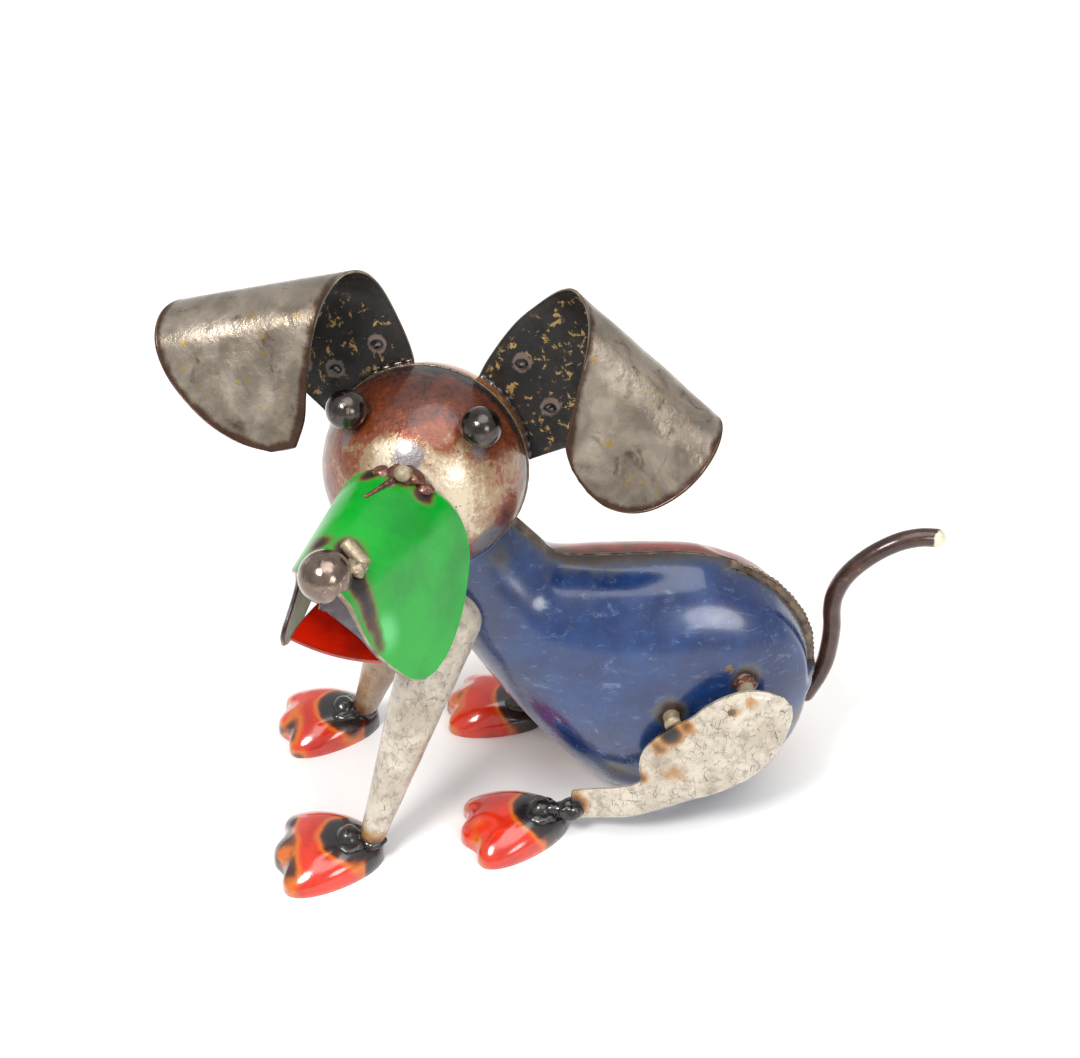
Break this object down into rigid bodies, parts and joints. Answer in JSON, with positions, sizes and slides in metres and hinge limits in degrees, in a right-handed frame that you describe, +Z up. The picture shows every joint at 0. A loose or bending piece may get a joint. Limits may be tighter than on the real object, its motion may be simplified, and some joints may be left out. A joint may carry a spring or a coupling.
{
  "type": "metal dog sculpture",
  "caption": "Sitting dog welded from painted scrap sheet, with a round head, folded ears, hanging cheeks and a bent rod tail.",
  "frame": {"origin": "middle of the bounding box, on the plane that the paws and belly stand on", "axes": "+Z up, the dog's chest faces -Y, its left side is +X, and its head looks round to +X"},
  "size_m": [0.174, 0.3174, 0.254],
  "materials": {
    "blue_paint": "glossy, worn through to metal at the edges",
    "red_paint": "glossy",
    "red_enamel": "glossy enamel with burnt patches",
    "green_paint": "glossy, with fine scratches",
    "cream_paint": "satin, crackled, with burnt edges",
    "burnt_steel": "heat-tinted and rusted, lacquered",
    "amber_steel": "heat-tinted amber, lacquered",
    "bare_sheet": "bare, stained, lacquered",
    "steel_ball": "polished, darkened by heat",
    "weld_steel": "burnt black, glossy lacquer",
    "brown_rod": "rust brown, lacquered"
  },
  "bodies": {
    "root": {"body_left_shell": "blue_paint", "body_right_shell": "red_paint", "head_front_dome": "burnt_steel", "head_back_dome": "amber_steel", "eye_left": "steel_ball", "eye_right": "steel_ball", "ear_left": "bare_sheet", "ear_right": "bare_sheet", "snout": "green_paint", "lower_jaw": "red_paint", "nose_ball": "steel_ball", "nose_rod": "weld_steel", "snout_rod": "weld_steel", "front_leg_left": "cream_paint", "front_leg_right": "cream_paint", "hind_leg_left": "cream_paint", "hind_leg_right": "cream_paint", "thigh_stub_front_left": "weld_steel", "thigh_stub_rear_left": "weld_steel", "thigh_stub_front_right": "weld_steel", "thigh_stub_rear_right": "weld_steel", "paw_front_left": "red_enamel", "paw_front_right": "red_enamel", "paw_hind_left": "red_enamel", "paw_hind_right": "red_enamel", "paw_weld_front_left": "weld_steel", "paw_weld_front_right": "weld_steel", "paw_weld_hind_left": "weld_steel", "paw_weld_hind_right": "weld_steel", "tail": "brown_rod"}
  },
  "joints": []
}
